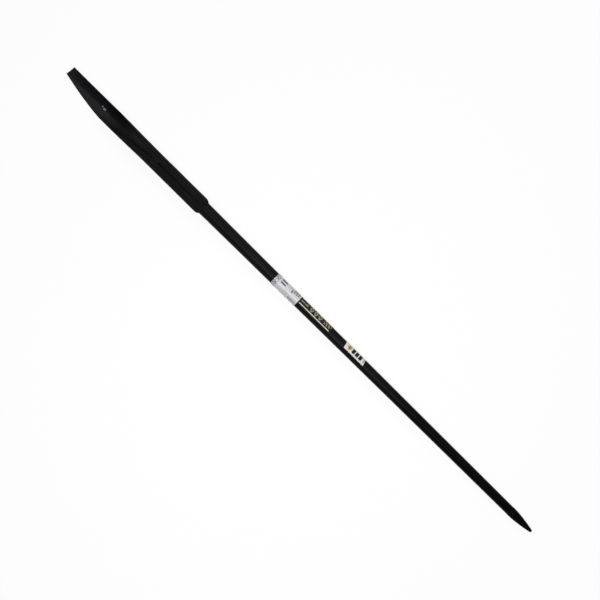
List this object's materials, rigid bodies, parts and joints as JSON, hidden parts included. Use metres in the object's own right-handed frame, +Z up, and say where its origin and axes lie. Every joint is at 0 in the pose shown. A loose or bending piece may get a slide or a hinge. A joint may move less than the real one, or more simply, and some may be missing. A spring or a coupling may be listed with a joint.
{
  "type": "digging bar",
  "caption": "Long steel digging bar with a rolled gouge blade, a tapered tube handle and a solid pointed end.",
  "frame": {"origin": "on the surface that the bar lies on, below the middle of its length", "axes": "+X along the bar from the blade's tip to the point, +Z up, out of the blade's hollow side; the bar's own axis slopes down by 0.52 degrees towards +X, because it lies on the thick socket's end and on the thin end of the tube"},
  "size_m": [1.5002, 0.0448, 0.0427],
  "materials": {
    "blade_coating": "satin black coating on forged and rolled steel plate",
    "tube_coating": "fine-grained semi-gloss black coating on steel tube",
    "point_coating": "fine-grained semi-gloss black coating on solid steel",
    "socket_weld_coating": "black coating over a rippled weld bead",
    "point_weld_coating": "black coating over a rippled weld bead",
    "silver_film": "silver-white adhesive film",
    "dark_film": "glossy black adhesive film with dull gold bars",
    "white_film": "white adhesive film"
  },
  "bodies": {
    "root": {"blade": "blade_coating", "handle_tube": "tube_coating", "point": "point_coating", "socket_weld": "socket_weld_coating", "point_weld": "point_weld_coating", "silver_label": "silver_film", "dark_label": "dark_film", "white_label": "white_film"}
  },
  "joints": []
}
